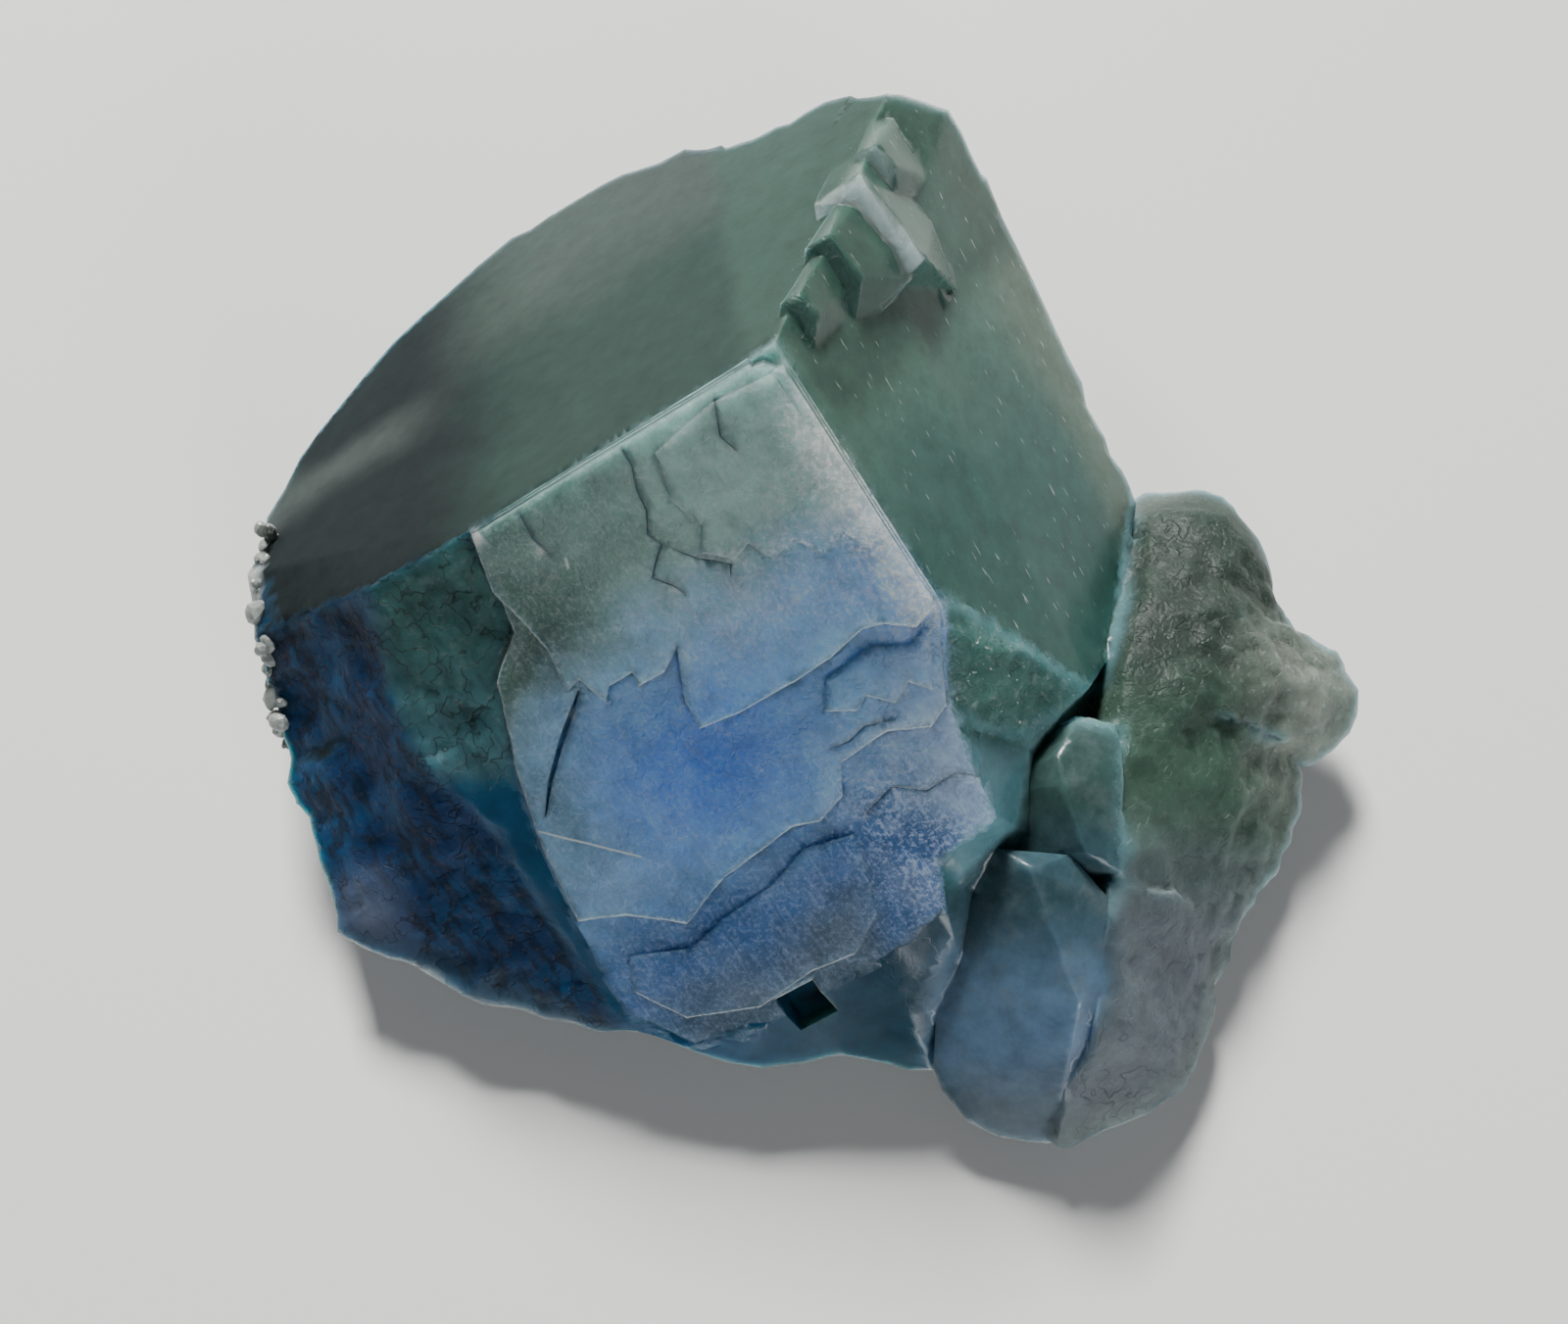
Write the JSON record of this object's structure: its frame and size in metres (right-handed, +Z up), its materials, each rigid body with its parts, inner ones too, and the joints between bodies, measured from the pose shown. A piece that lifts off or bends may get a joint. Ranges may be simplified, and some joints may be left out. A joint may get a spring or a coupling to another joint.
{
  "type": "fluorite crystal specimen",
  "caption": "Loose specimen of cloudy blue-green fluorite: a leaning cube corner with a frosted face, stepped edge, broken flank and smaller side crystals, resting on a flat base.",
  "frame": {"origin": "bottom centre of the bounding box, on the flat base", "axes": "+Z up from the base; -Y towards the lower edge of the frosted face, +X towards the side crystals"},
  "size_m": [0.0394, 0.0364, 0.0176],
  "materials": {
    "fluorite": "cloudy blue-green fluorite, frosted cube face, smooth side faces, rough fracture"
  },
  "bodies": {
    "root": {"fluorite_crystal": "fluorite"}
  },
  "joints": []
}
